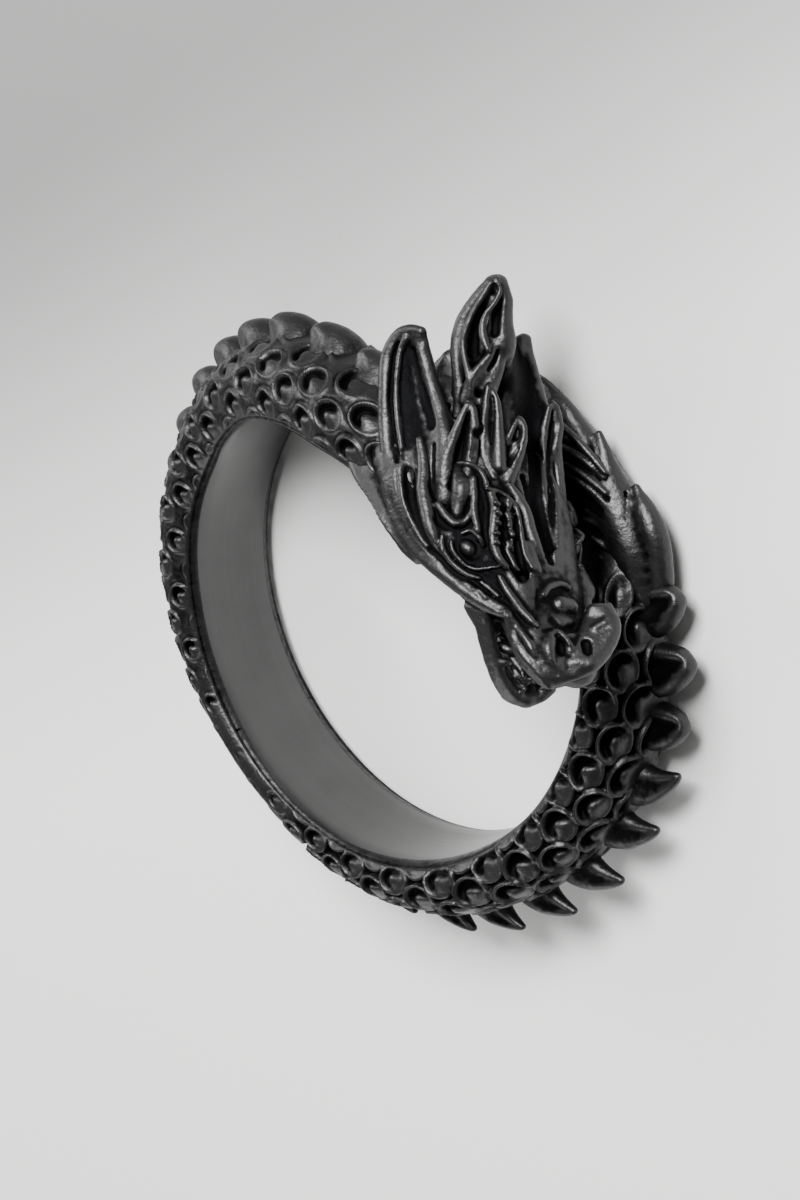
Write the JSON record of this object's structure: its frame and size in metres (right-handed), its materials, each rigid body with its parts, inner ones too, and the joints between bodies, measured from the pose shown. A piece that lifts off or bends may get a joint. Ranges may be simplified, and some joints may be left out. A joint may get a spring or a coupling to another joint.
{
  "type": "dragon ring",
  "caption": "Finger ring cast as a coiled dragon: scaled band with back spines, horned head with open mouth over a leaf-like tail tuft.",
  "frame": {"origin": "on the axis of the finger bore, in the middle plane of the plain band", "axes": "+Z along the bore towards the side that the head stands on, +Y from the axis towards the neck, +X towards the tail; the ring lies on its -Z side"},
  "size_m": [0.0287, 0.0304, 0.0106],
  "materials": {
    "black_steel": "near-black plating over cast stainless steel, satin on the scales and polished in the bore"
  },
  "bodies": {
    "root": {"dragon_ring": "black_steel"}
  },
  "joints": []
}
